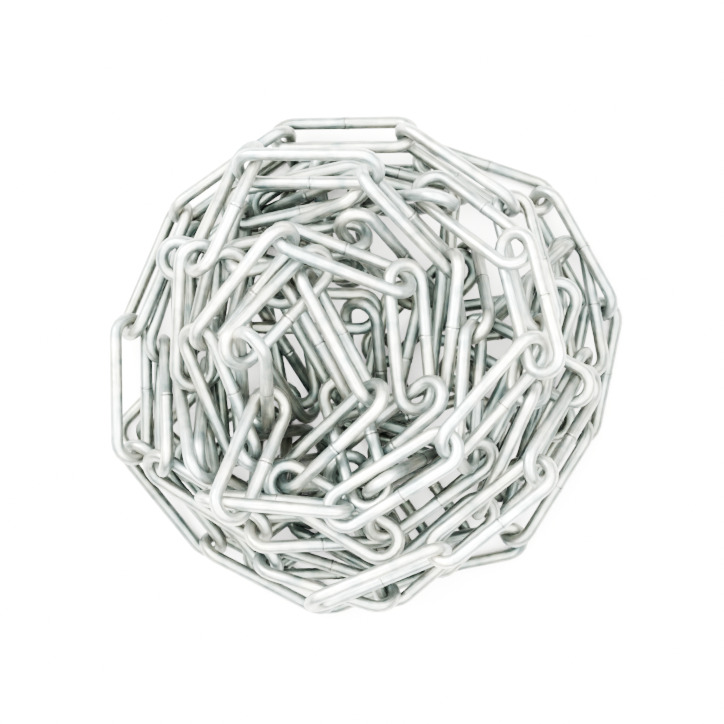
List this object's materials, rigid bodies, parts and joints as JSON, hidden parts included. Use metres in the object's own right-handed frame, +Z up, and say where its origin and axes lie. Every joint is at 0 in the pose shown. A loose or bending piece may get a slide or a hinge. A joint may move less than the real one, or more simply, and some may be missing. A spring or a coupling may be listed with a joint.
{
  "type": "steel chain heap",
  "caption": "Length of side-welded long-link steel chain dropped in a loose round heap on a flat surface; for tying, hanging and fencing off.",
  "frame": {"origin": "centre of the heap's bounding box, on the floor it rests on", "axes": "+Z up, away from the floor; +Y towards the top of the picture's picture; +X to its right"},
  "size_m": [0.088, 0.0858, 0.0357],
  "materials": {
    "zinc": "satin"
  },
  "bodies": {
    "root": {"links_001_002": "zinc", "links_003_004": "zinc", "links_005_006": "zinc", "links_007_008": "zinc", "links_009_010": "zinc", "links_011_012": "zinc", "links_013_014": "zinc", "links_015_016": "zinc", "links_017_018": "zinc", "links_019_020": "zinc", "links_021_022": "zinc", "links_023_024": "zinc", "links_025_026": "zinc", "links_027_028": "zinc", "links_029_030": "zinc", "links_031_032": "zinc", "links_033_034": "zinc", "links_035_036": "zinc", "links_037_038": "zinc", "links_039_040": "zinc", "links_041_042": "zinc", "links_043_044": "zinc", "links_045_046": "zinc", "links_047_048": "zinc", "links_049_050": "zinc", "links_051_052": "zinc", "links_053_054": "zinc", "links_055_056": "zinc", "links_057_058": "zinc", "links_059_060": "zinc", "links_061_062": "zinc", "links_063_064": "zinc", "links_065_066": "zinc", "links_067_068": "zinc", "links_069_070": "zinc", "links_071_072": "zinc", "links_073_074": "zinc", "links_075_076": "zinc", "links_077_078": "zinc", "links_079_080": "zinc", "links_081_082": "zinc", "links_083_084": "zinc", "links_085_086": "zinc", "links_087_088": "zinc", "links_089_090": "zinc", "links_091_092": "zinc", "links_093_094": "zinc", "links_095_096": "zinc", "links_097_098": "zinc", "links_099_100": "zinc", "links_101_102": "zinc", "links_103_104": "zinc", "links_105_106": "zinc", "links_107_108": "zinc", "link_109": "zinc"}
  },
  "joints": []
}
